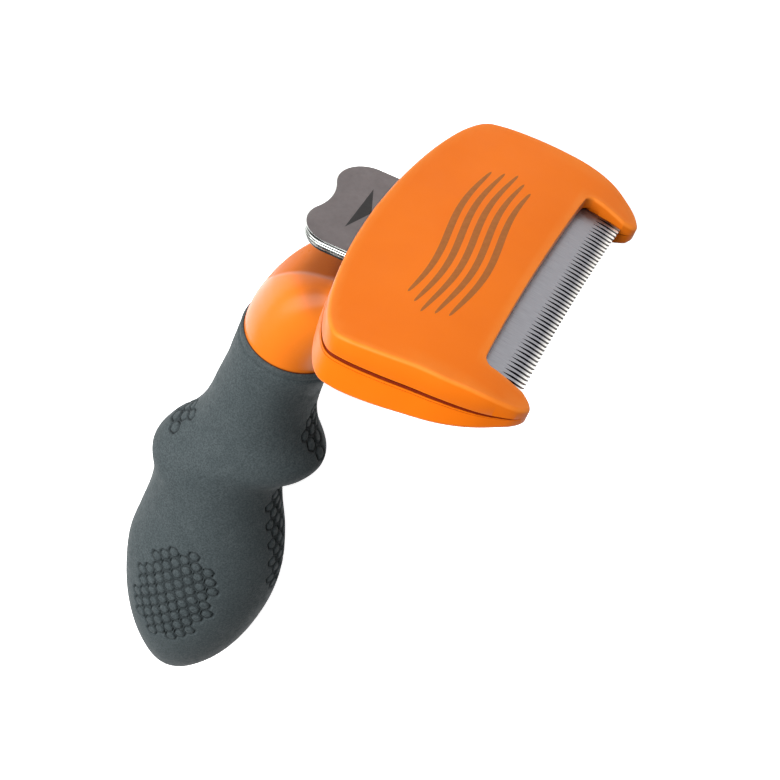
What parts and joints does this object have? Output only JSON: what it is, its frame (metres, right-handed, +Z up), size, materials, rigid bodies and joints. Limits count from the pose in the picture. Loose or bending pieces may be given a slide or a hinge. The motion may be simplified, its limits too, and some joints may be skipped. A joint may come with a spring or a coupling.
{
  "type": "pet deshedding tool",
  "caption": "Handheld deshedding comb: wide guarded head with a fine steel tooth blade, thumb button that slides a hair ejector bar, bent neck and soft contoured grip.",
  "frame": {"origin": "under the middle of the tool's box, on the table that the tool lies on", "axes": "+Z up from the table, the tool lying on the side of its head and on the bulb of its grip; +X roughly along the grip, away from the head; +Y roughly towards the tooth tips"},
  "size_m": [0.1904, 0.0864, 0.0929],
  "materials": {
    "orange_shell": "satin-gloss injection-moulded plastic",
    "grey_rubber": "matte soft-touch moulded grip",
    "blade_steel": "brushed stainless, ground teeth",
    "ejector_steel": "plain stainless",
    "spring_steel": "drawn spring wire",
    "button_nickel": "dark satin nickel",
    "button_chrome": "polished edge",
    "black_plastic": "moulded black plastic",
    "zinc_screws": "zinc-plated steel"
  },
  "bodies": {
    "tool": {"front_shell": "orange_shell", "rear_shell": "orange_shell", "neck": "orange_shell", "shell_screw_1": "zinc_screws", "shell_screw_2": "zinc_screws", "shell_screw_3": "zinc_screws", "shell_screw_4": "zinc_screws", "blade": "blade_steel", "blade_clamp": "black_plastic", "blade_screw_left": "zinc_screws", "blade_screw_right": "zinc_screws", "return_spring_left": "spring_steel", "return_spring_right": "spring_steel", "spring_rod_left": "zinc_screws", "spring_rod_right": "zinc_screws", "neck_screw_left": "zinc_screws", "neck_screw_right": "zinc_screws", "handle_core": "black_plastic", "core_pin": "zinc_screws", "grip": "grey_rubber"},
    "hair_ejector": {"button_base": "black_plastic", "button_trim": "button_chrome", "button_cap": "button_nickel", "ejector_carriage": "black_plastic", "ejector_bar": "ejector_steel"}
  },
  "joints": [
    {"name": "ejector_slide", "type": "slide", "parent": "tool", "child": "hair_ejector", "axis": [-0.1021, 0.9947, -0.0156], "range_m": [0, 0.0075], "stiffness_N_per_m": 500, "springref_m": -0.002, "deforming": ["return_spring_left", "return_spring_right"]}
  ]
}
